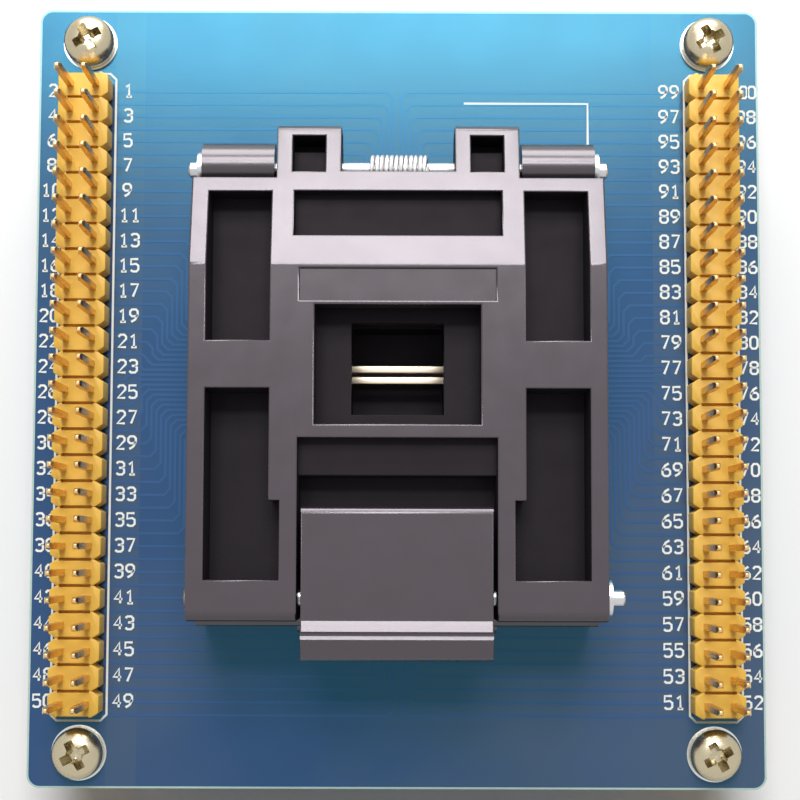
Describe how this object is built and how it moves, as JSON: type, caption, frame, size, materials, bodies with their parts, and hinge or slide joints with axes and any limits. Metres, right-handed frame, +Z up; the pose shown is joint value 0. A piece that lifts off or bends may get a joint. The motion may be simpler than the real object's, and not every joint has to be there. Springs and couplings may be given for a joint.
{
  "type": "ic programming socket",
  "caption": "Clamshell test socket for a square flat chip on a blue adapter board, with two yellow pin headers, a hinged lid with a sprung latch, and corner standoffs.",
  "frame": {"origin": "centre of the board's outline, on the surface that the four standoffs stand on", "axes": "+Z up through the board, +Y towards the lid's hinge, +X to the right with the latch in front"},
  "size_m": [0.0724, 0.0776, 0.0249],
  "materials": {
    "solder_mask_board": "gloss",
    "yellow_nylon": "satin",
    "gold_plate": "polished",
    "black_resin": "matte",
    "nickel_screw": "polished",
    "brass_standoff": "satin",
    "stainless_shaft": "satin",
    "spring_steel": "satin"
  },
  "bodies": {
    "board": {"adapter_board": "solder_mask_board", "standoffs": "brass_standoff", "corner_screws": "nickel_screw", "header_body_left": "yellow_nylon", "header_body_right": "yellow_nylon", "header_pins_left": "gold_plate", "header_pins_right": "gold_plate", "contacts_north": "gold_plate", "contacts_west": "gold_plate", "contacts_south": "gold_plate", "contacts_east": "gold_plate", "contact_retainer": "black_resin", "chip_nest": "black_resin", "well_bars": "gold_plate", "contact_comb": "black_resin", "socket_base": "black_resin", "hinge_shaft": "stainless_shaft", "hinge_clips": "stainless_shaft", "lid_spring": "spring_steel"},
    "lid": {"lid": "black_resin", "pad_pins": "stainless_shaft", "pad_springs": "spring_steel", "latch_shaft": "stainless_shaft", "latch_clip": "stainless_shaft", "latch_spring": "spring_steel"},
    "pressure_pad": {"pressure_pad": "black_resin"},
    "latch": {"latch": "black_resin"}
  },
  "joints": [
    {"name": "lid_hinge", "type": "hinge", "parent": "board", "child": "lid", "pos_m": [0, 0.02065, 0.0186], "axis": [-1, 0, 0], "range_deg": [0, 100], "deforming": ["lid_spring"]},
    {"name": "pad_float", "type": "slide", "parent": "lid", "child": "pressure_pad", "axis": [0, 0, 1], "range_m": [0, 0.0005], "stiffness_N_per_m": 1500, "springref_m": -0.0004, "deforming": ["pad_springs"]},
    {"name": "latch_pivot", "type": "hinge", "parent": "lid", "child": "latch", "pos_m": [0, -0.0199, 0.0217], "axis": [-1, 0, 0], "range_deg": [0, 12], "stiffness_Nm_per_rad": 0.08, "springref_deg": -8.59, "deforming": ["latch_spring"]}
  ]
}
